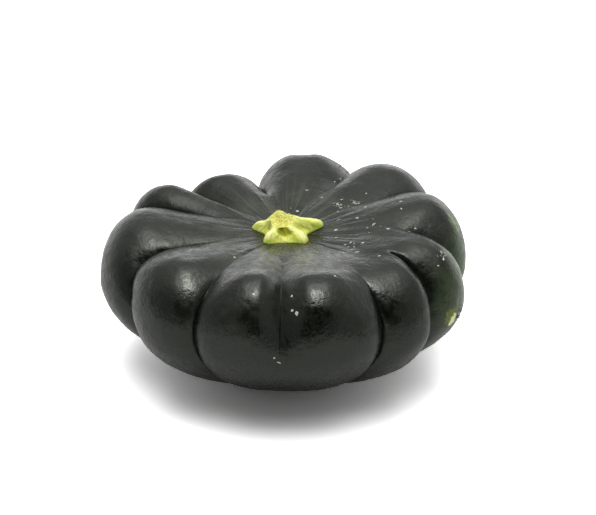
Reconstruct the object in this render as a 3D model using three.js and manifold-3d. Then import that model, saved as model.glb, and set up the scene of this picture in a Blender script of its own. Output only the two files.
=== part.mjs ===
// A flattened, deeply scalloped dark squash, with the short star-shaped stub of its stem.
// Millimetres, +Z up. The origin is the middle of the flat spot that it rests on, and -Y is the front.
import * as THREE from "three";
import Module from "manifold-3d";

const wasm = await Module();
wasm.setup();

// Main sizes of the fruit
const SEAT_HEIGHT = 50; // the middle of the shallow dish that the stem stands in
const CREST_HEIGHT = 57.5; // top of a lobe
const CREST_RADIUS = 42; // where that top is
const RIM_RADIUS = 65; // widest point of a lobe
const RIM_HEIGHT = 35;
const GROOVE_HEIGHT = 48.5; // top of a groove between two lobes
const GROOVE_RADIUS = 55.5; // widest point of a groove
const FOOT_RADIUS = 16; // flat spot at the blossom end
const LOBE_ROUNDNESS = 2.0; // powers that round a lobe from groove to groove
const LOBE_FULLNESS = 1.7;

// Outline down the crest of a lobe, as [radius, height]: three curves joined end to end,
// from seat to shoulder, shoulder to rim and rim to foot.
const CREST = [
  [0, SEAT_HEIGHT],
  [14, 49],
  [26, CREST_HEIGHT],
  [CREST_RADIUS, CREST_HEIGHT],
  [56, CREST_HEIGHT],
  [RIM_RADIUS, 50],
  [RIM_RADIUS, RIM_HEIGHT],
  [RIM_RADIUS, 18],
  [39, 5.5],
  [FOOT_RADIUS, 0],
];

// Outline down the bottom of a groove, in the same three parts.
const GROOVE = [
  [0, SEAT_HEIGHT],
  [12, 48],
  [22, GROOVE_HEIGHT],
  [36, GROOVE_HEIGHT],
  [48, GROOVE_HEIGHT],
  [GROOVE_RADIUS, 44],
  [GROOVE_RADIUS, 34],
  [GROOVE_RADIUS, 20],
  [37, 5],
  [FOOT_RADIUS, 0],
];

// The lobes, anticlockwise from the front left. Each row has the groove where the lobe starts
// (angle in degrees, depth, how far out it starts, how much it fades under the rim), then the lobe's
// own reach from the middle, the rise of its top and the cleft along its crest.
const LOBES = [
  { angle: -120, depth: 1.0, start: 0.2, fade: 0, reach: 1.0, rise: 0, cleft: 0 },
  { angle: -92, depth: 0.75, start: 0.3, fade: 0.7, reach: 1.0, rise: 0.01, cleft: 0 },
  { angle: -58, depth: 0.85, start: 0.5, fade: 0, reach: 0.98, rise: -0.05, cleft: 0 },
  { angle: -32, depth: 0.9, start: 0.5, fade: 0, reach: 1.01, rise: -0.03, cleft: 0 },
  { angle: -9, depth: 0.9, start: 0.3, fade: 0, reach: 1.0, rise: 0.03, cleft: 0 },
  { angle: 29, depth: 0.6, start: 0.2, fade: 0, reach: 1.07, rise: 0.03, cleft: 0 },
  { angle: 64, depth: 0.75, start: 0.2, fade: 0, reach: 1.07, rise: 0, cleft: 0.1 },
  { angle: 103, depth: 1.3, start: 0.1, fade: 0, reach: 0.84, rise: -0.01, cleft: 0 },
  { angle: 139, depth: 0.95, start: 0.05, fade: 0, reach: 1.0, rise: -0.01, cleft: 0 },
  { angle: 161, depth: 0.95, start: 0.05, fade: 0, reach: 1.01, rise: 0, cleft: 0 },
  { angle: 208, depth: 0.85, start: 0.05, fade: 0, reach: 1.0, rise: -0.04, cleft: 0 },
];

// Outline down the ridge of a stem arm and down the valley between two arms, as [radius, height above
// the seat]: from the middle to the broken rim, down the flank and under the foot.
const ARM_RIDGE = [
  [0, 5.3],
  [1.3, 5.5],
  [2.4, 6.0],
  [3.4, 6.0],
  [4.6, 6.0],
  [6.0, 4.3],
  [8.6, 4.0],
  [11.6, 3.6],
  [13.2, 1.2],
  [11.6, -2.5],
];
const ARM_VALLEY = [
  [0, 5.3],
  [1.2, 5.5],
  [2.2, 5.8],
  [3.1, 5.5],
  [4.0, 5.1],
  [4.2, 3.0],
  [5.6, 2.2],
  [7.2, 1.4],
  [8.4, 0.2],
  [7.6, -2.5],
];
const PLAIN_ARM_LENGTH = 12.2; // the length that ARM_RIDGE is drawn for

// The five arms that the stem flares into, with half widths in degrees.
const ARMS = [
  { angle: 18, length: 13.9, width: 16, lift: 0.2 },
  { angle: 98, length: 10.2, width: 18, lift: -0.5 },
  { angle: 165, length: 12.4, width: 17, lift: -0.3 },
  { angle: 233, length: 11.8, width: 18, lift: 0 },
  { angle: 305, length: 11.1, width: 19, lift: -0.2 },
];
const ARM_ROOT_WIDTH = 36; // half width of an arm at the middle of the stub, degrees
const FRONT_WEB = { angle: 268, width: 24, length: 0.2 }; // fuller skirt between the front arms
const STUB_TILT = { x: -0.12, y: 0.34 }; // slope of the broken top, highest at the back
const STUB_LEAN = { x: -1.6, y: 0.3 }; // shift of the top from the middle of the base
const STEM_PLACE = { x: 0.1, y: -1.4 }; // the stem's middle on the fruit
const STEM_GAP = 0.3; // clearance between the stem's base and the skin

// Fineness of the meshes
const LOBE_COLUMNS = 14;
const FRUIT_ROWS = 31;
const STEM_COLUMNS = 75;
const STEM_ROWS = 21;

const TURN = 2 * Math.PI;
const radians = (degrees) => (degrees * Math.PI) / 180;
const mix = (a, b, share) => a + (b - a) * share;

// 0 below a, 1 above b, and a smooth rise between them
function ease(a, b, x) {
  const t = Math.min(1, Math.max(0, (x - a) / (b - a)));
  return t * t * (3 - 2 * t);
}

// Point at t, from 0 to 1, on an outline of three joined cubic curves.
function outlinePoint(points, t) {
  const part = Math.min(2, Math.floor(t * 3));
  const k = t * 3 - part;
  const m = 1 - k;
  const weights = [m * m * m, 3 * m * m * k, 3 * m * k * k, k * k * k];
  const at = [0, 0];
  weights.forEach((weight, i) => {
    at[0] += weight * points[3 * part + i][0];
    at[1] += weight * points[3 * part + i][1];
  });
  return at;
}

// Point of the fruit's skin in lobe i, at u across it (-1 and 1 are its grooves) and t down its outline.
function skinPoint(i, u, t) {
  const count = LOBES.length;
  const lobe = LOBES[i];
  const after = LOBES[(i + 1) % count];
  const beside = u < 0 ? LOBES[(i + count - 1) % count] : after;
  const across = (u + 1) / 2;
  const turn = (after.angle - lobe.angle + 360) % 360;
  const angle = radians(lobe.angle + turn * across);
  const share = ease(0, 1, Math.abs(u) / 2);
  const reach = mix(lobe.reach, beside.reach, share);
  const rise = mix(lobe.rise, beside.rise, share);
  const depth = mix(lobe.depth, after.depth, across);
  const start = mix(lobe.start, after.start, across);
  const fade = mix(lobe.fade, after.fade, across);
  const swell = (1 - Math.abs(u) ** LOBE_ROUNDNESS) ** (1 / LOBE_FULLNESS);
  const grown = ease(0, 1, (t - start * 0.2) / 0.33) * (1 - fade * ease(0.62, 0.85, t));
  const cleft = lobe.cleft * Math.exp(-((u / 0.22) ** 2)) * ease(0.25, 0.5, t) * (1 - ease(0.6, 0.8, t));
  const cut = (1 - swell) * depth * grown + cleft;
  const crest = outlinePoint(CREST, t);
  const groove = outlinePoint(GROOVE, t);
  const radius = mix(crest[0], groove[0], cut);
  const height = mix(crest[1], groove[1], cut);
  const outward = ease(0, 1, radius / RIM_RADIUS);
  const r = radius * (1 + (reach - 1) * outward);
  return [r * Math.cos(angle), r * Math.sin(angle), height * (1 + rise * outward)];
}

// Point of the stem's surface at an angle in degrees and t down its outline.
function stemPoint(degrees, t) {
  const ridge = outlinePoint(ARM_RIDGE, t);
  const valley = outlinePoint(ARM_VALLEY, t);
  const toTip = ease(0.25, 0.8, t);
  let arm = 0;
  let near = 0;
  let length = 0;
  let lift = 0;
  for (const a of ARMS) {
    const off = ((degrees - a.angle + 540) % 360) - 180;
    const width = mix(ARM_ROOT_WIDTH, a.width, toTip);
    arm += Math.exp(-(Math.abs(off / width) ** 2.4));
    const weight = 1 / (1 + (off / 20) ** 4);
    near += weight;
    length += weight * a.length;
    lift += weight * a.lift;
  }
  arm = Math.min(1, arm);
  const far = ease(3, 9, ridge[0]);
  const longer = 1 + ((length / near / PLAIN_ARM_LENGTH) - 1) * far;
  const webOff = ((degrees - FRONT_WEB.angle + 540) % 360) - 180;
  const web = 1 + FRONT_WEB.length * Math.exp(-((webOff / FRONT_WEB.width) ** 2)) * ease(0.5, 0.85, t);
  const r = mix(valley[0] * web, ridge[0] * longer, arm);
  const raised = ridge[1] + (lift / near) * far * ease(-2, 1, ridge[1]);
  const height = mix(valley[1], raised, arm);
  const x = r * Math.cos(radians(degrees));
  const y = r * Math.sin(radians(degrees));
  const hub = 1 - ease(2.5, 8.5, r);
  return [
    x + STUB_LEAN.x * hub + STEM_PLACE.x,
    y + STUB_LEAN.y * hub + STEM_PLACE.y,
    SEAT_HEIGHT + height + (STUB_TILT.x * x + STUB_TILT.y * y) * hub,
  ];
}

// Closed body from a top point, rings of points that run down from it, and a bottom point.
function ringBody(top, rings, bottom) {
  const count = rings[0].length;
  const positions = [top, ...rings.flat(), bottom].flat();
  const last = positions.length / 3 - 1;
  const triangles = [];
  for (let j = 0; j < count; j++) {
    const next = (j + 1) % count;
    triangles.push(0, 1 + j, 1 + next);
    for (let i = 0; i < rings.length - 1; i++) {
      const upper = 1 + i * count;
      const lower = upper + count;
      triangles.push(upper + j, lower + j, lower + next);
      triangles.push(upper + j, lower + next, upper + next);
    }
    const end = 1 + (rings.length - 1) * count;
    triangles.push(last, end + next, end + j);
  }
  const mesh = new wasm.Mesh({
    numProp: 3,
    vertProperties: new Float32Array(positions),
    triVerts: new Uint32Array(triangles),
  });
  return new wasm.Manifold(mesh);
}

function fruitBody() {
  const rings = [];
  for (let row = 1; row <= FRUIT_ROWS; row++) {
    const ring = [];
    for (let i = 0; i < LOBES.length; i++) {
      for (let column = 0; column < LOBE_COLUMNS; column++) {
        // columns stand closer together towards the grooves
        const u = Math.sin((TURN / 4) * ((2 * column) / LOBE_COLUMNS - 1));
        ring.push(skinPoint(i, u, row / FRUIT_ROWS));
      }
    }
    rings.push(ring);
  }
  return ringBody([0, 0, SEAT_HEIGHT], rings, [0, 0, 0]);
}

// The stem's base follows the skin under it, one gap above.
function stemBody(fruit) {
  const rings = [];
  for (let row = 1; row <= STEM_ROWS; row++) {
    const ring = [];
    for (let column = 0; column < STEM_COLUMNS; column++) {
      ring.push(stemPoint((360 * column) / STEM_COLUMNS, row / STEM_ROWS));
    }
    rings.push(ring);
  }
  const base = rings[rings.length - 1][0][2];
  const middle = stemPoint(0, 0);
  const raw = ringBody(middle, rings, [STEM_PLACE.x, STEM_PLACE.y, base]);
  return raw.subtract(fruit.translate([0, 0, STEM_GAP]));
}

function namedMesh(name, body, color, roughness) {
  const made = body.getMesh();
  const geometry = new THREE.BufferGeometry();
  geometry.setAttribute("position", new THREE.BufferAttribute(made.vertProperties, 3));
  geometry.setIndex(new THREE.BufferAttribute(made.triVerts, 1));
  geometry.computeVertexNormals();
  const mesh = new THREE.Mesh(geometry, new THREE.MeshStandardMaterial({ color, roughness }));
  mesh.name = name;
  return mesh;
}

const fruit = fruitBody();
const squash = new THREE.Group();
squash.add(namedMesh("fruit", fruit, "#20241f", 0.4));
squash.add(namedMesh("stem", stemBody(fruit), "#b9bb5c", 0.7));

export default squash;
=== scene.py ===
# A flattened, deeply ribbed dark squash with the short stub of its stem: the looks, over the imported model.
# Sizes are in millimetres unless a name says otherwise, and every mesh is written out in metres.
import math
import random

import bmesh
import bpy
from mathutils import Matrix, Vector, noise
from mathutils.bvhtree import BVHTree


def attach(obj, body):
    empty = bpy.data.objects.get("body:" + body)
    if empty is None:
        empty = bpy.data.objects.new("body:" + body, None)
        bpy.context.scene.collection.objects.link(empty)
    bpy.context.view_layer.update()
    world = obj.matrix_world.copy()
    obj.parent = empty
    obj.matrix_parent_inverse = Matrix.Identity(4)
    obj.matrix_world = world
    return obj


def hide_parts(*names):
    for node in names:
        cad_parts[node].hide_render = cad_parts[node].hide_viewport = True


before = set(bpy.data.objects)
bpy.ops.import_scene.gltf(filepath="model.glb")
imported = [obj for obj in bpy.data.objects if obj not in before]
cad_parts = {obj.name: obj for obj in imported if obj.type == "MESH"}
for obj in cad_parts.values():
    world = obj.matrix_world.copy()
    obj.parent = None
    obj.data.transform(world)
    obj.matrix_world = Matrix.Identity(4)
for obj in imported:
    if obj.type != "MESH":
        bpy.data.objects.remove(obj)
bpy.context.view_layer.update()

MM = 0.001

# Main sizes of the fruit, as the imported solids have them
SEAT_HEIGHT = 50.0
CREST_HEIGHT = 57.0
CREST_RADIUS = 46.5
RIM_RADIUS = 65.0
RIM_HEIGHT = 35.0
GROOVE_HEIGHT = 48.5
GROOVE_RADIUS = 55.5
FOOT_RADIUS = 16.0
LOBE_ROUNDNESS = 2.0  # 2 for a lobe of round section, more for a boxier one
LOBE_FULLNESS = 1.7  # how far its flanks bulge before they fall into a crease
VALLEY_START, VALLEY_END = 0.1, 1.2  # where across a lobe, from 0 to 1 at its groove, a soft valley dips

# Outlines down the crest of a lobe and down the bottom of a groove, as (radius, height):
# three curves joined end to end, from seat to shoulder, shoulder to rim and rim to foot.
CREST = [
    (0, SEAT_HEIGHT), (15, 49.8), (34, CREST_HEIGHT - 1.5),
    (CREST_RADIUS, CREST_HEIGHT), (56, CREST_HEIGHT + 1.3), (RIM_RADIUS, 49.5),
    (RIM_RADIUS, RIM_HEIGHT), (RIM_RADIUS, 18), (39, 5.5), (FOOT_RADIUS, 0),
]
GROOVE = [
    (0, SEAT_HEIGHT), (12, 48), (22, GROOVE_HEIGHT),
    (36, GROOVE_HEIGHT), (48, GROOVE_HEIGHT), (GROOVE_RADIUS, 44),
    (GROOVE_RADIUS, 34), (GROOVE_RADIUS, 20), (37, 5), (FOOT_RADIUS, 0),
]

# Slits along the shoulder in some grooves: the dip that a slit adds, its half width in millimetres, and
# where down the skin it starts and ends, from 0 at the stem to 1 at the foot.
FRONT_LEFT_SLIT = (0.05, 1.0, 0.34, 0.6)
FRONT_SLIT = (0.055, 1.5, 0.34, 0.58)
RIGHT_SLIT = (0.38, 0.7, 0.27, 0.5)

# The lobes go anticlockwise from the front left, each after the groove of the same number.
# A groove has its angle in degrees, its turn over the shoulder and its tuck towards the foot, its depth,
# where down the skin it starts, is full and turns from a valley into a crease, and its fade under the rim.
GROOVES = [
    dict(angle=-121, turn=0, tuck=10, depth=0.56, start=0.04, full=0.45, crease=0.64, fade=0,
         slit=FRONT_LEFT_SLIT),
    dict(angle=-92, turn=0, tuck=0, depth=0.5, start=0.02, full=0.36, crease=0.85, fade=0.85,
         slit=FRONT_SLIT),
    dict(angle=-57, turn=0, tuck=-10, depth=0.62, start=0.12, full=0.62, crease=0.66, fade=0),
    dict(angle=-33, turn=-4, tuck=-3, depth=0.85, start=0.25, full=0.6, crease=0.6, fade=0,
         slit=RIGHT_SLIT),
    dict(angle=-8, turn=0, tuck=0, depth=0.8, start=0.16, full=0.48, crease=0.55, fade=0),
    dict(angle=29, turn=0, tuck=0, depth=0.65, start=0.06, full=0.4, crease=0.5, fade=0),
    dict(angle=64, turn=0, tuck=0, depth=0.75, start=0.04, full=0.38, crease=0.55, fade=0),
    dict(angle=103, turn=0, tuck=0, depth=1.2, start=0.08, full=0.42, crease=0.5, fade=0),
    dict(angle=139, turn=0, tuck=0, depth=0.95, start=0.03, full=0.36, crease=0.5, fade=0),
    dict(angle=161, turn=0, tuck=0, depth=0.66, start=0.02, full=0.34, crease=0.45, fade=0),
    dict(angle=201, turn=8, tuck=3, depth=0.85, start=0.02, full=0.36, crease=0.45, fade=0),
]
# A lobe has its reach and its rise at the rim, how far its shoulder leans to one side, and its cleft.
LOBES = [
    dict(reach=1.0, rise=0, lean=0.38, cleft=0),
    dict(reach=1.0, rise=-0.01, lean=-0.28, cleft=0),
    dict(reach=1.0, rise=-0.09, lean=0.2, cleft=0),
    dict(reach=1.01, rise=-0.05, lean=0, cleft=0),
    dict(reach=1.005, rise=0.03, lean=0, cleft=0),
    dict(reach=1.07, rise=0.015, lean=0, cleft=0),
    dict(reach=1.07, rise=0, lean=-0.08, cleft=0.1),
    dict(reach=0.84, rise=-0.03, lean=0.15, cleft=0),
    dict(reach=1.0, rise=-0.01, lean=0, cleft=0),
    dict(reach=1.015, rise=-0.01, lean=-0.1, cleft=0),
    dict(reach=1.0, rise=-0.04, lean=0.25, cleft=0),
]
BLENDED = ("turn", "tuck", "depth", "start", "full", "crease", "fade")  # from groove to groove over a lobe

# Where down the skin a groove's turn, tuck and fade start and are full, where a lobe's lean ends, and where
# its cleft begins and ends
TURN_SPAN = (0.45, 0.75)
TUCK_SPAN = (0.62, 0.95)
FADE_SPAN = (0.55, 0.74)
LEAN_END_SPAN = (0.62, 0.85)
CLEFT_TOP, CLEFT_BOTTOM = (0.25, 0.5), (0.6, 0.8)
CLEFT_WIDTH = 0.22  # across the lobe
CREASE_SPAN = 0.35  # how long a valley takes to turn into a crease, down the skin
SLIT_TOP_SPAN, SLIT_BOTTOM_SPAN = 0.12, 0.1  # and how long a slit takes to start and to end

# Outlines down the ridge of a stem arm and down the valley between two arms, as (radius, height over
# the seat): from the middle to the broken rim, down the flank and under the foot.
ARM_RIDGE = [
    (0, 3.9), (1.6, 4.2), (3.2, 5.0),
    (4.3, 5.1), (5.4, 5.1), (6.6, 4.3),
    (8.6, 4.0), (11.6, 3.6), (13.2, 1.2), (11.6, -2.5),
]
ARM_VALLEY = [
    (0, 3.9), (1.5, 4.1), (2.9, 4.6),
    (3.7, 4.5), (4.5, 4.1), (4.8, 2.6),
    (5.6, 2.2), (7.2, 1.4), (8.4, 0.2), (7.6, -2.5),
]
PLAIN_ARM_LENGTH = 12.2
ARMS = [
    dict(angle=18, length=13.9, width=16, lift=0.2),
    dict(angle=98, length=10.2, width=18, lift=-0.5),
    dict(angle=165, length=12.4, width=17, lift=-0.3),
    dict(angle=233, length=12.2, width=18, lift=0),
    dict(angle=305, length=12.0, width=19, lift=-0.2),
]
ARM_ROOT_WIDTH = 28  # in degrees, as the width of each arm at its tip
ARM_SHARPNESS = 1.9  # 1 for a knife edge along each arm, 2 or more for a round back
FRONT_WEB = dict(angle=268, width=24, length=0.2)  # skin between the two front arms
FRONT_HOLLOW = dict(angle=272, width=25, depth=1.0)
STUB_TILT = (0.02, 0.36)  # rise of the torn top to the right and to the back
STUB_LEAN = (-1.9, 0.2)
HUB_EDGE = (2.5, 8.5)  # radii between which the tilt and the lean of the top end
STEM_PLACE = (0.1, -1.4)

# Where down the stem, from 0 in the middle of its top to 1 at its base, the arms narrow, the torn top ends,
# the web between the front arms begins, and the front hollow begins and ends
ARM_TAPER = (0.25, 0.8)
TORN_END = (0.28, 0.5)
WEB_START = (0.5, 0.85)
HOLLOW_START, HOLLOW_END = (0.3, 0.45), (0.55, 0.75)

# Fineness of the meshes
LOBE_COLUMNS = 36
SKIN_ROWS = 216
FOOT_ROWS = 14  # the last rows of the skin, which close its flat foot
STEM_COLUMNS = 220
STEM_ROWS = 120
STEM_BASE_ROWS = 6  # the last rows of the stem, which close its base

# The photo's frame and the camera, which looks along +Y from a little above
PHOTO_WIDTH, PHOTO_HEIGHT = 596, 515
CAMERA_ELEVATION = math.radians(27.2)
CAMERA_DISTANCE = 720.0
PIXELS_PER_MM = 2.79
AIM = Vector((0, 0, 30))
AIM_PIXEL = (286, 281.5)


def mix(a, b, share):
    return a + (b - a) * share


def ease(low, high, x):
    """0 below low, 1 above high, and a smooth rise between them."""
    t = min(1.0, max(0.0, (x - low) / (high - low)))
    return t * t * (3 - 2 * t)


def outline_point(points, t):
    """The point at t, from 0 to 1, on an outline of three joined cubic curves."""
    part = min(2, int(t * 3))
    k = t * 3 - part
    m = 1 - k
    weights = (m * m * m, 3 * m * m * k, 3 * m * k * k, k * k * k)
    four = points[3 * part:3 * part + 4]
    return tuple(sum(w * p[axis] for w, p in zip(weights, four)) for axis in (0, 1))


# Fruit

def lobe_dip(u, creased):
    """How far the skin dips from crest, 0, to groove, 1: a soft valley or, with creased at 1, a crease."""
    crease = 1 - max(0.0, 1 - abs(u) ** LOBE_ROUNDNESS) ** (1 / LOBE_FULLNESS)
    valley = ease(VALLEY_START, VALLEY_END, abs(u)) / ease(VALLEY_START, VALLEY_END, 1)
    return mix(valley, crease, creased)


def skin_point(i, u, t, crest, groove):
    """The skin and its dip in lobe i at u across it, from groove at -1 to groove at 1, and t down it."""
    lobe = LOBES[i]
    beside = LOBES[i - 1] if u < 0 else LOBES[(i + 1) % len(LOBES)]
    before, after = GROOVES[i], GROOVES[(i + 1) % len(GROOVES)]
    across = (u + 1) / 2
    between = {key: mix(before[key], after[key], across) for key in BLENDED}
    width = (after["angle"] - before["angle"]) % 360
    turned = between["turn"] * ease(*TURN_SPAN, t) + between["tuck"] * ease(*TUCK_SPAN, t)
    angle = math.radians(before["angle"] + width * across + turned)
    share = ease(0, 1, abs(u) / 2)
    reach = mix(lobe["reach"], beside["reach"], share)
    rise = mix(lobe["rise"], beside["rise"], share)
    grown = ease(between["start"], between["full"], t) * (1 - between["fade"] * ease(*FADE_SPAN, t))
    cleft = lobe["cleft"] * math.exp(-(u / CLEFT_WIDTH) ** 2)
    cleft *= ease(*CLEFT_TOP, t) * (1 - ease(*CLEFT_BOTTOM, t))
    lean = lobe["lean"] * (1 - ease(*LEAN_END_SPAN, t))
    off_ridge = (u - lean) / (1 - lean if u > lean else 1 + lean)
    creased = ease(between["crease"] - CREASE_SPAN, between["crease"], t)
    cut = lobe_dip(off_ridge, creased) * between["depth"] * grown + cleft
    slit = (before if u < 0 else after).get("slit")
    if slit:
        deep, wide, top, bottom = slit
        from_groove = (1 - abs(u)) * math.radians(width) / 2 * crest[0]
        along = ease(top, top + SLIT_TOP_SPAN, t) * (1 - ease(bottom - SLIT_BOTTOM_SPAN, bottom, t))
        cut += deep * math.exp(-(from_groove / wide) ** 2) * along
    radius = mix(crest[0], groove[0], cut)
    height = mix(crest[1], groove[1], cut)
    outward = ease(0, 1, radius / RIM_RADIUS)
    r = radius * (1 + (reach - 1) * outward)
    return Vector((r * math.cos(angle), r * math.sin(angle), height * (1 + rise * outward))), cut


def ball(rows, columns):
    """A closed ball, to be shaped by row and column. Each vertex keeps its row, 0 to 1, in "down"."""
    mesh = bmesh.new()
    down = mesh.verts.layers.float.new("down")
    bmesh.ops.create_uvsphere(mesh, u_segments=columns, v_segments=rows, radius=1)
    for vertex in mesh.verts:
        vertex[down] = math.acos(max(-1.0, min(1.0, vertex.co.z))) / math.pi
    return mesh, down


def relief(point, size, seed):
    """Smooth random relief from -1 to 1 whose bumps are about size across."""
    return noise.noise(point / size + Vector((seed, 2 * seed, 3 * seed)))


# Relief of the skin: the height of each and the size of its bumps
SWELLS = (0.42, 21)
DENTS = (0.26, 8.5)
PITS = (0.06, 3.1)
STREAK_HEIGHT, FINE_STREAK_HEIGHT = 0.28, 0.16  # that run out from the stem

BLOSSOM_RADIUS = 8.0  # corky ring where the flower was
BLOSSOM_RING_WIDTH = 1.6
BLOSSOM_DEPTH = 0.7


def fruit_body():
    """The skin, closed under its foot. "grain" runs around and down it, "groove_near" is its dip."""
    mesh, down = ball(SKIN_ROWS, LOBE_COLUMNS * len(LOBES))
    grain = mesh.verts.layers.float_vector.new("grain")
    groove_near = mesh.verts.layers.float.new("groove_near")
    body_rows = SKIN_ROWS - FOOT_ROWS
    outlines = []
    for row in range(body_rows + 1):
        outlines.append((outline_point(CREST, row / body_rows), outline_point(GROOVE, row / body_rows)))
    column_turn = math.tau / (LOBE_COLUMNS * len(LOBES))
    for vertex in mesh.verts:
        row = round(vertex[down] * SKIN_ROWS)
        column = round((math.atan2(vertex.co.y, vertex.co.x) % math.tau) / column_turn)
        i, step = divmod(column % (LOBE_COLUMNS * len(LOBES)), LOBE_COLUMNS)
        u = math.sin(math.pi / 2 * (2 * step / LOBE_COLUMNS - 1))
        body_row = min(row, body_rows)
        point, cut = skin_point(i, u, body_row / body_rows, *outlines[body_row])
        if row > body_row:
            inward = 1 - (row - body_row) / FOOT_ROWS
            point = Vector((point.x * inward, point.y * inward, 0))
        angle = math.atan2(point.y, point.x)
        vertex.co = point
        vertex[grain] = (math.cos(angle), math.sin(angle), vertex[down])
        vertex[groove_near] = min(1.0, cut)
    mesh.normal_update()
    moves = {}
    for vertex in mesh.verts:
        point = vertex.co
        radius = math.hypot(point.x, point.y)
        off_foot = ease(4, 14, point.z)
        off_dish = ease(16, 40, radius)
        lift = off_foot * off_dish * SWELLS[0] * relief(point, SWELLS[1], 1)
        lift += off_foot * DENTS[0] * relief(point, DENTS[1], 2)
        lift += off_foot * PITS[0] * relief(point, PITS[1], 3)
        around = vertex[grain] * 9
        streak = noise.noise(Vector((around.x, around.y, radius * 0.035 + 5)))
        fine = noise.noise(Vector((around.x * 2.6, around.y * 2.6, radius * 0.06 + 9)))
        by_stem = ease(6, 12, radius) * (1 - ease(20, 36, radius)) * ease(30, 40, point.z)
        lift += by_stem * (STREAK_HEIGHT * streak + FINE_STREAK_HEIGHT * fine)
        if point.z < 1:
            ring = math.exp(-((radius - BLOSSOM_RADIUS) / BLOSSOM_RING_WIDTH) ** 2)
            dish = 1 - ease(BLOSSOM_RADIUS - 4, BLOSSOM_RADIUS + 1, radius)
            crack = abs(noise.noise(vertex[grain] * 7 + Vector((0, 0, radius * 0.2))))
            moves[vertex] = Vector((0, 0, dish * BLOSSOM_DEPTH + ring * crack * 0.5))
        else:
            moves[vertex] = vertex.normal * lift
    for vertex, move in moves.items():
        vertex.co += move
    mesh.normal_update()
    return mesh


# Stem

def beside_angle(degrees, one):
    """How many degrees an angle lies beside the middle of an arm, web or hollow."""
    return (degrees - one["angle"] + 180) % 360 - 180


def near_angle(degrees, one, sharpness=2):
    """1 at the middle of an arm, web or hollow and 0 well beside it."""
    return math.exp(-abs(beside_angle(degrees, one) / one["width"]) ** sharpness)


def stem_point(degrees, t):
    """The stem at an angle in degrees and t down it, and how much of an arm and of the hollow it is."""
    ridge = outline_point(ARM_RIDGE, t)
    valley = outline_point(ARM_VALLEY, t)
    to_tip = ease(*ARM_TAPER, t)
    arm = near = length = lift = 0.0
    for one in ARMS:
        width = mix(ARM_ROOT_WIDTH, one["width"], to_tip)
        arm += near_angle(degrees, dict(one, width=width), ARM_SHARPNESS)
        weight = 1 / (1 + (beside_angle(degrees, one) / 20) ** 4)
        near += weight
        length += weight * one["length"]
        lift += weight * one["lift"]
    arm = min(1.0, arm)
    far = ease(3, 9, ridge[0])
    longer = 1 + (length / near / PLAIN_ARM_LENGTH - 1) * far
    web = 1 + FRONT_WEB["length"] * near_angle(degrees, FRONT_WEB) * ease(*WEB_START, t)
    r = mix(valley[0] * web, ridge[0] * longer, arm)
    hollow = near_angle(degrees, FRONT_HOLLOW) * ease(*HOLLOW_START, t) * (1 - ease(*HOLLOW_END, t))
    r -= FRONT_HOLLOW["depth"] * hollow
    raised = ridge[1] + lift / near * far * ease(-2, 1, ridge[1])
    height = mix(valley[1], raised, arm)
    x = r * math.cos(math.radians(degrees))
    y = r * math.sin(math.radians(degrees))
    hub = 1 - ease(*HUB_EDGE, r)
    tilted = (STUB_TILT[0] * x + STUB_TILT[1] * y) * hub
    place = Vector((
        x + STUB_LEAN[0] * hub + STEM_PLACE[0],
        y + STUB_LEAN[1] * hub + STEM_PLACE[1],
        SEAT_HEIGHT + height + tilted,
    ))
    return place, arm, hollow


def stem_body():
    """The stem, with its grain and how much of an arm, of the torn top and of the hollow each place is."""
    mesh, down = ball(STEM_ROWS, STEM_COLUMNS)
    grain = mesh.verts.layers.float_vector.new("grain")
    arm_share = mesh.verts.layers.float.new("arm_share")
    torn_share = mesh.verts.layers.float.new("torn_share")
    hollow_share = mesh.verts.layers.float.new("hollow_share")
    for vertex in mesh.verts:
        row = round(vertex[down] * STEM_ROWS)
        angle = math.atan2(vertex.co.y, vertex.co.x)
        body_row = min(row, STEM_ROWS - STEM_BASE_ROWS)
        t = body_row / (STEM_ROWS - STEM_BASE_ROWS)
        point, arm, hollow = stem_point(math.degrees(angle), t)
        if row > body_row:
            inward = 1 - (row - body_row) / STEM_BASE_ROWS
            point.x *= inward
            point.y *= inward
        vertex.co = point
        vertex[grain] = (math.cos(angle), math.sin(angle), t)
        vertex[arm_share] = arm
        vertex[torn_share] = 1 - ease(*TORN_END, t)
        vertex[hollow_share] = hollow
    mesh.normal_update()
    moves = {}
    for vertex in mesh.verts:
        point = vertex.co
        torn = vertex[torn_share]
        rise = point.z - SEAT_HEIGHT
        fibres = vertex[grain] * 7
        fibre = noise.noise(Vector((fibres.x, fibres.y, vertex[grain].z * 2.2)))
        fine = noise.noise(Vector((fibres.x * 2.7, fibres.y * 2.7, vertex[grain].z * 4)))
        flank = ease(0.1, 0.8, rise) * (1 - torn)
        lift = flank * (0.34 * fibre + 0.2 * fine) + 0.12 * relief(point, 2.2, 4) * ease(0, 1, rise)
        rough = 1.3 * abs(relief(point, 2.4, 5)) + 0.4 * relief(point, 0.9, 6) + 1.6 * relief(point, 4.2, 7)
        frayed = (0.9 * relief(point, 1.5, 8) + 0.9 * relief(point, 3.3, 9)) * (torn - torn ** 2) * 4
        outward = Vector((vertex[grain].x, vertex[grain].y, 0))
        moves[vertex] = vertex.normal * lift + Vector((0, 0, torn * rough)) + outward * frayed * 0.6
    for vertex, move in moves.items():
        vertex.co += move
    mesh.normal_update()
    return mesh


def piece_from(mesh, name, material):
    """Writes a mesh made in millimetres out as a smooth-shaded piece in metres."""
    bmesh.ops.scale(mesh, vec=(MM, MM, MM), verts=mesh.verts)
    data = bpy.data.meshes.new(name)
    mesh.to_mesh(data)
    mesh.free()
    data.shade_smooth()
    data.materials.append(material)
    made = bpy.data.objects.new(name, data)
    bpy.context.scene.collection.objects.link(made)
    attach(made, "root")
    return made


# Camera, floor and light

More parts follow.
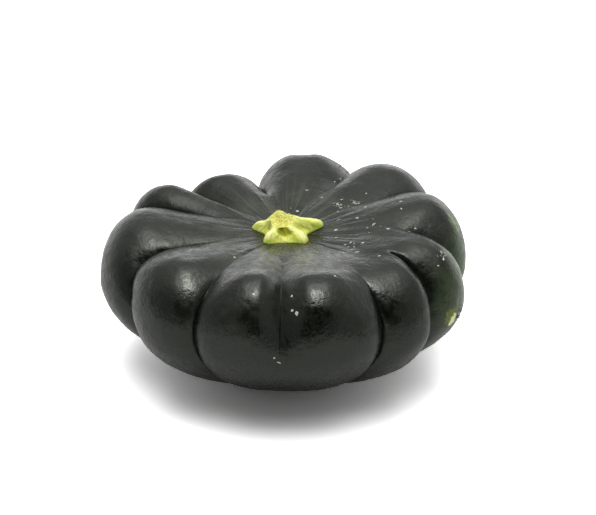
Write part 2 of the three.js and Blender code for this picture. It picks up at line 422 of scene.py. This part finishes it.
FORWARD = Vector((0, math.cos(CAMERA_ELEVATION), -math.sin(CAMERA_ELEVATION)))
RIGHT = Vector((1, 0, 0))
UP = Vector((0, math.sin(CAMERA_ELEVATION), math.cos(CAMERA_ELEVATION)))
EYE = AIM - FORWARD * CAMERA_DISTANCE
SENSOR_WIDTH = 36.0  # Blender's own, which the photo's long side fills


def make_camera():
    """The photo's camera, turned so that the photo's frame is the render's."""
    data = bpy.data.cameras.new("camera")
    data.sensor_width = SENSOR_WIDTH
    data.lens = PIXELS_PER_MM * CAMERA_DISTANCE / PHOTO_WIDTH * SENSOR_WIDTH
    data.clip_start, data.clip_end = 0.02, 40  # in metres
    made = bpy.data.objects.new("camera", data)
    bpy.context.scene.collection.objects.link(made)
    bpy.context.scene.camera = made
    right = (PHOTO_WIDTH / 2 - AIM_PIXEL[0]) / PIXELS_PER_MM
    up = (AIM_PIXEL[1] - PHOTO_HEIGHT / 2) / PIXELS_PER_MM
    middle = AIM + RIGHT * right + UP * up
    made.location = EYE * MM
    made.rotation_euler = (middle - EYE).to_track_quat("-Z", "Y").to_euler()


def photo_ray(pixel):
    """The direction from the camera through a pixel of the photo."""
    focal = PIXELS_PER_MM * CAMERA_DISTANCE
    right, down = pixel[0] - AIM_PIXEL[0], pixel[1] - AIM_PIXEL[1]
    return (FORWARD * focal + RIGHT * right - UP * down).normalized()


class Value:
    """One socket of a node, which takes part in sums: an operator adds its Math node."""

    def __init__(self, finish, socket):
        self.finish, self.socket = finish, socket

    def __add__(self, other):
        return self.finish.math("ADD", self, other)

    def __sub__(self, other):
        return self.finish.math("SUBTRACT", self, other)

    def __rsub__(self, other):
        return self.finish.math("SUBTRACT", other, self)

    def __mul__(self, other):
        return self.finish.math("MULTIPLY", self, other)

    def __truediv__(self, other):
        return self.finish.math("DIVIDE", self, other)

    def __rtruediv__(self, other):
        return self.finish.math("DIVIDE", other, self)

    __radd__ = __add__
    __rmul__ = __mul__


# Places of some sockets in their nodes
MIX_SHARE, MIX_A, MIX_B, MIX_COLOUR = 0, 6, 7, 2
VECTOR_OUTPUT, FACTOR_OUTPUT = 1, 2  # of an Attribute node
GENERATED_OUTPUT, OBJECT_OUTPUT = 0, 3  # of a Texture Coordinate node
NUMBER_OUTPUT = 1  # of a Vector Math node
COLOUR_OUTPUT = 1  # of a Noise Texture node
CAMERA_RAY_OUTPUT = 0  # of a Light Path node
BACKFACING_OUTPUT = 6  # of a Geometry node
X, Y, Z = 0, 1, 2


class Finish:
    """A material or world being made."""

    def __init__(self, owner):
        owner.use_nodes = True
        self.owner, self.tree = owner, owner.node_tree
        self.tree.nodes.clear()

    def node(self, kind, settings=None, sockets=None, output=0):
        """One output of a new node with these settings and these values or links of its sockets."""
        made = self.tree.nodes.new(kind)
        for name, value in (settings or {}).items():
            setattr(made, name, value)
        for name, value in (sockets or {}).items():
            if isinstance(value, Value):
                self.tree.links.new(value.socket, made.inputs[name])
            else:
                made.inputs[name].default_value = value
        return Value(self, made.outputs[output]) if made.outputs else None

    def math(self, operation, *terms):
        return self.node("ShaderNodeMath", {"operation": operation}, dict(enumerate(terms)))

    def vector(self, operation, a, b, output=0):
        return self.node("ShaderNodeVectorMath", {"operation": operation}, {0: a, 1: b}, output)

    def dot(self, a, b):
        return self.vector("DOT_PRODUCT", a, b, NUMBER_OUTPUT)

    def part(self, vector, axis):
        """A vector's X, Y or Z."""
        return self.node("ShaderNodeSeparateXYZ", None, {0: vector}, axis)

    def ramp(self, value, low, high, start=0.0, end=1.0):
        """start where value is low, end where it is high, and a smooth change between them."""
        sockets = {0: value, 1: low, 2: high, 3: start, 4: end}
        return self.node("ShaderNodeMapRange", {"interpolation_type": "SMOOTHSTEP"}, sockets)

    def noise(self, at, size, detail=2.0, roughness=0.5, output=0):
        """Cloudy noise, about 0 to 1, with features of about size in the units of at."""
        sockets = {"Vector": at, "Scale": 1 / size, "Detail": detail, "Roughness": roughness}
        return self.node("ShaderNodeTexNoise", None, sockets, output)

    def blend(self, share, a, b):
        """Colour a where share is 0 and colour b where it is 1."""
        sockets = {MIX_SHARE: share, MIX_A: a, MIX_B: b}
        return self.node("ShaderNodeMix", {"data_type": "RGBA"}, sockets, MIX_COLOUR)

    def attribute(self, name, output):
        return self.node("ShaderNodeAttribute", {"attribute_name": name}, None, output)

    def coordinates(self, output):
        return self.node("ShaderNodeTexCoord", None, None, output)

    def seen_directly(self):
        """1 where the camera looks straight at it and 0 in reflections and as light."""
        return self.node("ShaderNodeLightPath", None, None, CAMERA_RAY_OUTPUT)


def grey(level):
    return (level, level, level, 1)


# Brightness of the room
FRONT_LEVEL, BACK_LEVEL = 0.42, 0.7
OVERHEAD_LEVEL = 0.7  # on top of these
WINDOW_LEVEL = 1.0  # low along the back, on top of these
LEFT_SHARE = 0.75
DARK_CORNER = Vector((0, -math.cos(math.radians(36)), math.sin(math.radians(36))))  # above the camera
DARK_CORNER_SHARE = 0.01
DARK_CORNER_REACH = (math.cos(math.radians(44)), math.cos(math.radians(28)))  # its edge and its middle


def make_world():
    """A white room, brighter overhead and low along the back, with one dark corner above the camera."""
    made = bpy.data.worlds.new("room")
    bpy.context.scene.world = made
    finish = Finish(made)
    way = finish.coordinates(GENERATED_OUTPUT)
    back = finish.part(way, Y)
    rise = finish.part(way, Z)
    level = finish.ramp(back, -0.4, 0.5, FRONT_LEVEL, BACK_LEVEL)
    level = level + finish.ramp(rise, 0.6, 0.95, 0, OVERHEAD_LEVEL)
    level = level + finish.ramp(back, 0.2, 0.9, 0, WINDOW_LEVEL) * finish.ramp(rise, 0.47, 0.12)
    level = level * finish.ramp(finish.part(way, X), -0.9, -0.1, LEFT_SHARE, 1)
    corner = finish.dot(way, tuple(DARK_CORNER))
    level = level * finish.ramp(corner, *DARK_CORNER_REACH, 1, DARK_CORNER_SHARE)
    tone = finish.node("ShaderNodeCombineColor", None, {0: level, 1: level, 2: level})
    colour = finish.blend(finish.seen_directly(), tone, grey(1))
    sky = finish.node("ShaderNodeBackground", None, {"Color": colour, "Strength": 1.0})
    finish.node("ShaderNodeOutputWorld", None, {"Surface": sky})


FLOOR_HALF = 4.0  # in metres
FLOOR_DROP = 0.0003  # in metres, so that it doesn't touch the foot
FLOOR_TONE = 0.72  # in front and under the fruit, as light and as the fruit mirrors it
FLOOR_TONE_BEHIND = 1.1
FLOOR_TONE_SEEN = 2.1  # as the camera sees it, so bright that it washes out to white, as in the photo


def make_floor():
    """A white table, clear from below, so that the fruit's underside can be looked at."""
    mesh = bmesh.new()
    bmesh.ops.create_grid(mesh, x_segments=1, y_segments=1, size=FLOOR_HALF)
    bmesh.ops.translate(mesh, vec=(0, 0, -FLOOR_DROP), verts=mesh.verts)
    data = bpy.data.meshes.new("floor")
    mesh.to_mesh(data)
    mesh.free()
    made = bpy.data.objects.new("floor", data)
    bpy.context.scene.collection.objects.link(made)
    material = bpy.data.materials.new("white_table")
    finish = Finish(material)
    behind = finish.ramp(finish.part(finish.coordinates(OBJECT_OUTPUT), Y), 0.0, 0.3)
    mirrored = finish.blend(behind, grey(FLOOR_TONE), grey(FLOOR_TONE_BEHIND))
    tone = finish.blend(finish.seen_directly(), mirrored, grey(FLOOR_TONE_SEEN))
    top = finish.node("ShaderNodeBsdfDiffuse", None, {"Color": tone})
    clear = finish.node("ShaderNodeBsdfTransparent")
    from_below = finish.node("ShaderNodeNewGeometry", None, None, BACKFACING_OUTPUT)
    both = finish.node("ShaderNodeMixShader", None, {0: from_below, 1: top, 2: clear})
    finish.node("ShaderNodeOutputMaterial", None, {"Surface": both})
    data.materials.append(material)


LAMP_PLACE = (0.04, -0.24, 1.02)  # in metres, as the next
CEILING_PLACE = (0, -0.1, 1.1)


def make_light(name, place, size, power, mirrored=True, lighting=True):
    """A square soft light that faces the fruit, which mirrors it and is lit by it, or only one of these."""
    data = bpy.data.lights.new(name, "AREA")
    data.shape, data.size, data.energy = "SQUARE", size, power
    made = bpy.data.objects.new(name, data)
    bpy.context.scene.collection.objects.link(made)
    made.location = place
    made.rotation_euler = (AIM * MM - made.location).to_track_quat("-Z", "Y").to_euler()
    made.visible_glossy, made.visible_diffuse = mirrored, lighting


# Small marks on the skin, at pixels of the photo, with their length and width in millimetres and their
# slant in degrees, anticlockwise from level as the photo shows them.
FLECKS = [
    dict(pixel=(297.5, 211), length=1.1, width=0.75, slant=0),
    dict(pixel=(291, 208), length=0.5, width=0.35, slant=0),
    dict(pixel=(307, 190), length=1.2, width=0.4, slant=0),
    dict(pixel=(322, 197.5), length=1.3, width=0.5, slant=30),
    dict(pixel=(335, 182), length=0.8, width=0.5, slant=30),
    dict(pixel=(341, 179), length=0.9, width=0.5, slant=20),
    dict(pixel=(338, 204.5), length=1.5, width=0.6, slant=-60),
    dict(pixel=(341, 208), length=1.2, width=0.35, slant=50),
    dict(pixel=(338, 211.5), length=1.0, width=0.35, slant=40),
    dict(pixel=(342, 199.5), length=1.0, width=0.4, slant=20),
    dict(pixel=(354, 202), length=1.5, width=0.35, slant=65),
    dict(pixel=(355.5, 203.5), length=1.2, width=0.3, slant=-50),
    dict(pixel=(365.5, 207), length=1.1, width=0.8, slant=20),
    dict(pixel=(366.5, 193.5), length=0.8, width=0.3, slant=90),
    dict(pixel=(357, 218), length=1.0, width=0.6, slant=0),
    dict(pixel=(374, 224), length=1.5, width=0.5, slant=50),
    dict(pixel=(388, 229), length=1.2, width=0.8, slant=0),
    dict(pixel=(367.5, 228), length=0.8, width=0.5, slant=0),
    dict(pixel=(409, 231.5), length=1.4, width=0.5, slant=-70),
    dict(pixel=(415.5, 229), length=0.8, width=0.6, slant=0),
    dict(pixel=(401, 201.5), length=1.0, width=0.4, slant=0),
    dict(pixel=(401.5, 209), length=1.1, width=0.4, slant=-75),
    dict(pixel=(336, 230), length=1.1, width=0.8, slant=0),
    dict(pixel=(336, 237.5), length=0.8, width=0.5, slant=0),
    dict(pixel=(351, 242.5), length=1.3, width=0.45, slant=75),
    dict(pixel=(345, 245), length=1.2, width=0.4, slant=0),
    dict(pixel=(348, 247), length=0.8, width=0.3, slant=-30),
    dict(pixel=(363, 243), length=1.1, width=0.5, slant=50),
    dict(pixel=(357, 252), length=1.6, width=0.5, slant=0),
    dict(pixel=(379, 256), length=0.9, width=0.5, slant=30),
    dict(pixel=(443.5, 259.5), length=1.2, width=0.7, slant=60),
    dict(pixel=(445, 256), length=0.6, width=0.4, slant=0),
    dict(pixel=(438, 266), length=0.9, width=0.5, slant=0),
    dict(pixel=(335, 276), length=1.1, width=0.6, slant=-30),
    dict(pixel=(292, 310.5), length=0.9, width=0.7, slant=0),
    dict(pixel=(296.5, 313.5), length=1.3, width=1.1, slant=90),
    dict(pixel=(291.5, 296), length=0.8, width=0.7, slant=0),
    dict(pixel=(274, 358), length=0.9, width=0.6, slant=0),
    dict(pixel=(278.5, 362.5), length=1.4, width=0.6, slant=-30),
    dict(pixel=(234.5, 257), length=1.0, width=0.6, slant=-70),
    dict(pixel=(253.5, 294), length=0.8, width=0.6, slant=0),
]

# Clusters of thin splinters on the skin: the photo's pixel in the middle, how many pixels they scatter
# over, and their number
SPLINTER_CLUSTERS = [
    dict(pixel=(341, 204), spread=7, count=9),
    dict(pixel=(355, 202), spread=6, count=7),
    dict(pixel=(352, 246), spread=8, count=8),
    dict(pixel=(371, 224), spread=6, count=4),
    dict(pixel=(442, 256), spread=4, count=5),
]
SPLINTER_SEED = 11
SPLINTER_LENGTHS, SPLINTER_WIDTHS = (0.6, 1.9), (0.12, 0.22)
SPLINTER_SLANTS = (-80, 80)


def splinters():
    """Marks as in FLECKS for the splinters of all clusters."""
    dice = random.Random(SPLINTER_SEED)
    made = []
    for cluster in SPLINTER_CLUSTERS:
        for _ in range(cluster["count"]):
            across, down = (dice.gauss(0, cluster["spread"] / 1.5) for _ in range(2))
            pixel = (cluster["pixel"][0] + across, cluster["pixel"][1] + down)
            length, slant = dice.uniform(*SPLINTER_LENGTHS), dice.uniform(*SPLINTER_SLANTS)
            made.append(dict(pixel=pixel, length=length, width=dice.uniform(*SPLINTER_WIDTHS), slant=slant))
    return made


# Scars, as the flecks but each with its own colour, which covers those before it
SCARS = [
    dict(pixel=(454.5, 223), length=9, width=2.2, slant=-64, colour=(0.13, 0.20, 0.02, 1)),
    dict(pixel=(456, 231), length=11, width=2.6, slant=-72, colour=(0.035, 0.060, 0.012, 1)),
    dict(pixel=(458, 268), length=14, width=3.0, slant=-80, colour=(0.035, 0.060, 0.015, 1)),
    dict(pixel=(457.5, 306), length=8, width=1.6, slant=80, colour=(0.075, 0.115, 0.03, 1)),
    dict(pixel=(450.5, 316.5), length=6.4, width=4.4, slant=48, colour=(0.10, 0.13, 0.004, 1)),
    dict(pixel=(452.5, 320), length=5.4, width=2.6, slant=50, colour=(0.86, 0.86, 0.40, 1)),
    dict(pixel=(441.5, 253), length=1.6, width=1.0, slant=60, colour=(0.28, 0.34, 0.22, 1)),
    dict(pixel=(347, 174), length=3.4, width=1.8, slant=-20, colour=(0.17, 0.17, 0.13, 1)),
    dict(pixel=(343, 170), length=3.0, width=1.1, slant=-45, colour=(0.030, 0.024, 0.014, 1)),
]

# Dry bristles at the edge of the scars: the photo's pixel where each stands, its length and its lean to
# the right
BRISTLES = [
    dict(pixel=(460.8, 309.5), length=2.0, lean=1.2),
    dict(pixel=(460, 311.5), length=1.6, lean=2.0),
    dict(pixel=(457.6, 316), length=1.7, lean=0.8),
    dict(pixel=(456.8, 318), length=1.2, lean=1.6),
    dict(pixel=(457.2, 317), length=1.5, lean=0.2),
    dict(pixel=(347, 172.5), length=1.9, lean=1.0),
    dict(pixel=(340, 166.5), length=1.2, lean=0.6),
]
BRISTLE_RADIUS = 0.2
BRISTLE_TIP_SHARE = 0.2
BRISTLE_ROOT = 0.6  # how deep each starts inside the skin


def bristle_body(skin):
    """Short stiff fibres that stand on the skin, each rooted a little way inside it."""
    mesh = bmesh.new()
    for one in BRISTLES:
        place, normal, _, _ = skin.ray_cast(EYE, photo_ray(one["pixel"]))
        way = (normal + RIGHT * one["lean"]).normalized()
        made = bmesh.ops.create_cone(
            mesh, cap_ends=True, segments=8, radius1=BRISTLE_RADIUS,
            radius2=BRISTLE_RADIUS * BRISTLE_TIP_SHARE, depth=one["length"] + BRISTLE_ROOT,
        )
        turn = Vector((0, 0, 1)).rotation_difference(way).to_matrix()
        bmesh.ops.rotate(mesh, cent=(0, 0, 0), matrix=turn, verts=made["verts"])
        middle = place + way * (one["length"] - BRISTLE_ROOT) / 2
        bmesh.ops.translate(mesh, vec=middle, verts=made["verts"])
    return mesh


def bristle_finish():
    """Dull dark brown."""
    finish = Finish(bpy.data.materials.new("dry_bristle"))
    dry_brown = (0.030, 0.026, 0.012, 1)
    fibre = finish.node("ShaderNodeBsdfPrincipled", None, {"Base Color": dry_brown, "Roughness": 0.7})
    finish.node("ShaderNodeOutputMaterial", None, {"Surface": fibre})
    return finish.owner


MARK_DEPTH = 2.0  # how far a mark reaches above and below the skin
MARK_EDGE = (0.55, 1.35)  # where its edge starts and ends, as squares of its half size


def mark_shape(finish, at, skin, mark):
    """1 on a mark and 0 off it: a small blob on the skin where the photo shows it."""
    place, normal, _, _ = skin.ray_cast(EYE, photo_ray(mark["pixel"]))
    slant = math.radians(mark["slant"])
    along = RIGHT * math.cos(slant) + UP * math.sin(slant)
    along = (along - normal * along.dot(normal)).normalized()
    across = normal.cross(along)
    offset = finish.vector("SUBTRACT", at, tuple(place * MM))
    far = finish.dot(offset, tuple(along / (mark["length"] / 2 * MM)))
    wide = finish.dot(offset, tuple(across / (mark["width"] / 2 * MM)))
    deep = finish.dot(offset, tuple(normal / (MARK_DEPTH * MM)))
    return finish.ramp(far * far + wide * wide + deep * deep, *MARK_EDGE, 1, 0)


def pushed_about(finish, at, size, detail, roughness, reach):
    """Places moved by noise, so that what is drawn at them has ragged edges."""
    push = finish.noise(at, size, detail, roughness, COLOUR_OUTPUT)
    push = finish.vector("SUBTRACT", push, (0.5, 0.5, 0.5))
    return finish.vector("ADD", at, finish.vector("MULTIPLY", push, (reach,) * 3))


RIND_BLACK = (0.0018, 0.0030, 0.0012, 1)
RIND_DARK_GREEN = (0.0045, 0.0070, 0.0032, 1)
RIND_THIN_GREEN = (0.030, 0.064, 0.011, 1)  # on the shaded side
STRETCH_MARK = (0.040, 0.046, 0.027, 1)
PALE_FLECK = (0.62, 0.64, 0.56, 1)
CORK_DARK, CORK_PALE = (0.085, 0.052, 0.024, 1), (0.26, 0.18, 0.09, 1)
RIND_MIRROR_TINT = (0.95, 1.0, 0.89, 1)
RIND_ROUGHNESS = 0.15  # where it is smoothest


def skin_finish(skin):
    """Near-black waxy rind: green where it thins, pale flecks and scars, and a fine broken gloss."""
    finish = Finish(bpy.data.materials.new("dark_rind"))
    at = finish.coordinates(OBJECT_OUTPUT)
    grain = finish.attribute("grain", VECTOR_OUTPUT)
    groove = finish.attribute("groove_near", FACTOR_OUTPUT)
    x, z = finish.part(at, X), finish.part(at, Z)
    radius = finish.vector("LENGTH", finish.vector("MULTIPLY", at, (1, 1, 0)), (0, 0, 0), NUMBER_OUTPUT)

    clouds = finish.noise(at, 14 * MM, 4, 0.6)
    spots = finish.noise(at, 2.6 * MM, 3, 0.6)
    dimples = finish.noise(at, 1.5 * MM, 2, 0.5)
    streaks = finish.noise(finish.vector("MULTIPLY", grain, (24, 24, 5)), 1, 4, 0.6)

    # dark green, a little lighter in clouds and where the rind is thin on the shaded side
    colour = finish.blend(finish.ramp(clouds, 0.35, 0.7), RIND_BLACK, RIND_DARK_GREEN)
    thin = finish.ramp(x + clouds * 14 * MM, 54 * MM, 72 * MM) * finish.ramp(z, 54 * MM, 40 * MM)
    colour = finish.blend(thin * finish.ramp(spots, 0.25, 0.6, 0.5, 1), colour, RIND_THIN_GREEN)

    # pale stretch marks that run out from the stem
    by_stem = finish.ramp(radius, 8 * MM, 13 * MM) * finish.ramp(radius, 44 * MM, 20 * MM)
    by_stem = by_stem * finish.ramp(z, 20 * MM, 40 * MM)
    marked = by_stem * finish.ramp(streaks * 0.6 + clouds * 0.4, 0.44, 0.62)
    colour = finish.blend(marked * 0.8, colour, STRETCH_MARK)

    # small pale flecks and splinters, and larger scars with more ragged edges
    rough_at = pushed_about(finish, at, 0.6 * MM, 2, 0.5, 0.8 * MM)
    shapes = [mark_shape(finish, rough_at, skin, mark) for mark in FLECKS + splinters()]
    flecks = shapes[0]
    for shape in shapes[1:]:
        flecks = finish.math("MAXIMUM", flecks, shape)
    colour = finish.blend(flecks * 0.9, colour, PALE_FLECK)
    torn_at = pushed_about(finish, at, 1.5 * MM, 3, 0.6, 4 * MM)
    for scar in SCARS:
        shape = mark_shape(finish, torn_at, skin, scar)
        colour = finish.blend(shape * finish.ramp(spots, 0.2, 0.45, 0.7, 1), colour, scar["colour"])

    # corky scar of the blossom, underneath
    corky = finish.ramp(radius + 6 * MM * spots, 13.5 * MM, 11.5 * MM) * finish.ramp(z, 3 * MM, 1.5 * MM)
    cork = finish.blend(finish.ramp(dimples, 0.35, 0.6), CORK_DARK, CORK_PALE)
    colour = finish.blend(corky * 0.95, colour, cork)

    # duller in spots and clouds, in the grooves and on flecks and cork
    dull = RIND_ROUGHNESS + 0.16 * finish.ramp(spots, 0.3, 0.7) + 0.12 * groove + 0.3 * flecks
    dull = dull + 0.12 * finish.ramp(clouds, 0.45, 0.65) + 0.35 * corky
    height = dimples * 0.09 * MM + spots * 0.2 * MM
    height = height + streaks * by_stem * 0.10 * MM + flecks * 0.05 * MM
    bump = finish.node("ShaderNodeBump", None, {"Height": height, "Distance": 1.0, "Strength": 1.0})
    rind = finish.node("ShaderNodeBsdfPrincipled", None, {
        "Base Color": colour, "Roughness": dull, "Normal": bump, "IOR": 1.5,
        "Specular Tint": RIND_MIRROR_TINT,
    })
    finish.node("ShaderNodeOutputMaterial", None, {"Surface": rind})
    return finish.owner


STEM_GREEN, STEM_YELLOW_GREEN = (0.53, 0.70, 0.045, 1), (0.82, 0.88, 0.12, 1)
STEM_OLIVE = (0.36, 0.38, 0.01, 1)  # between the arms
# painted shade: a darker olive for the front hollow
STEM_HOLLOW_PAINTED_SHADE = (0.28, 0.29, 0.001, 1)  # in the front hollow
STEM_CREAM = (0.96, 0.92, 0.42, 1)  # on fibres and ridges
TORN_YELLOW, TORN_CREAM = (0.64, 0.62, 0.045, 1), (0.94, 0.91, 0.36, 1)
# dark green of the stem's foot, partly its own colour and partly painted contact shade where it meets the
# skin
STEM_FOOT_GREEN_AND_SHADE = (0.090, 0.125, 0.006, 1)


def stem_finish():
    """Fresh yellow-green stem: cream on its torn top, olive between its arms, a darker olive painted as
    shade in its front hollow, and dark green at its foot, partly painted contact shade.
    """
    finish = Finish(bpy.data.materials.new("fresh_stem"))
    at = finish.coordinates(OBJECT_OUTPUT)
    grain = finish.attribute("grain", VECTOR_OUTPUT)
    arm = finish.attribute("arm_share", FACTOR_OUTPUT)
    torn = finish.attribute("torn_share", FACTOR_OUTPUT)
    deep = finish.attribute("hollow_share", FACTOR_OUTPUT)
    rise = finish.part(at, Z) / MM - SEAT_HEIGHT

    fibres = finish.noise(finish.vector("MULTIPLY", grain, (26, 26, 7)), 1, 3, 0.6)
    clouds = finish.noise(at, 3.5 * MM, 3)
    green = finish.blend(finish.ramp(clouds, 0.38, 0.62), STEM_GREEN, STEM_YELLOW_GREEN)
    hollow = finish.ramp(arm, 0.78, 0.35) * finish.ramp(rise, 1.0, 2.4)
    colour = finish.blend(hollow * 0.8, green, STEM_OLIVE)
    ridge = finish.ramp(arm + 0.35 * fibres, 0.98, 1.16) * finish.ramp(rise, 1.2, 2.6)
    pale = finish.ramp(fibres, 0.4, 0.66) * 0.6 + ridge * 0.6
    colour = finish.blend(finish.math("MINIMUM", pale, 1.0), colour, STEM_CREAM)
    crumbs = finish.noise(at, 0.8 * MM, 3, 0.65)
    top = finish.blend(finish.ramp(crumbs, 0.35, 0.65), TORN_YELLOW, TORN_CREAM)
    ragged = torn + 0.7 * fibres + 0.5 * crumbs
    colour = finish.blend(finish.ramp(ragged, 1.1, 1.6, 0, 0.85), colour, top)
    # painted shade: the front hollow turns darker olive
    colour = finish.blend(finish.ramp(deep + 0.4 * clouds, 0.35, 0.75, 0, 0.9), colour, STEM_HOLLOW_PAINTED_SHADE)
    # darker towards the foot: the stem's own dark green there, partly painted contact shade
    foot = finish.ramp(rise + 0.9 * clouds, 1.5, 0.6)
    colour = finish.blend(foot * 0.9, colour, STEM_FOOT_GREEN_AND_SHADE)

    height = fibres * 0.22 * MM + crumbs * torn * 0.2 * MM + finish.noise(at, 0.5 * MM, 2) * 0.05 * MM
    bump = finish.node("ShaderNodeBump", None, {"Height": height, "Distance": 1.0, "Strength": 1.0})
    skin = finish.node("ShaderNodeBsdfPrincipled", None, {
        "Base Color": colour, "Roughness": 0.55 + 0.25 * torn, "Normal": bump, "Specular IOR Level": 0.3,
    })
    finish.node("ShaderNodeOutputMaterial", None, {"Surface": skin})
    return finish.owner


# The scene

bpy.context.scene.view_settings.view_transform = "Standard"
make_camera()
make_world()
make_floor()
make_light("lamp", LAMP_PLACE, size=0.3, power=3.3, lighting=False)
make_light("lamp_glow", LAMP_PLACE, size=1.0, power=4.2, mirrored=False)
make_light("ceiling", CEILING_PLACE, size=0.9, power=4.5)

fruit_mesh = fruit_body()
skin_surface = BVHTree.FromBMesh(fruit_mesh)
rind = piece_from(fruit_mesh, "rind", skin_finish(skin_surface))
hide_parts("fruit")

stub = piece_from(stem_body(), "stem_stub", stem_finish())
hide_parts("stem")

bristles = piece_from(bristle_body(skin_surface), "scar_bristles", bristle_finish())
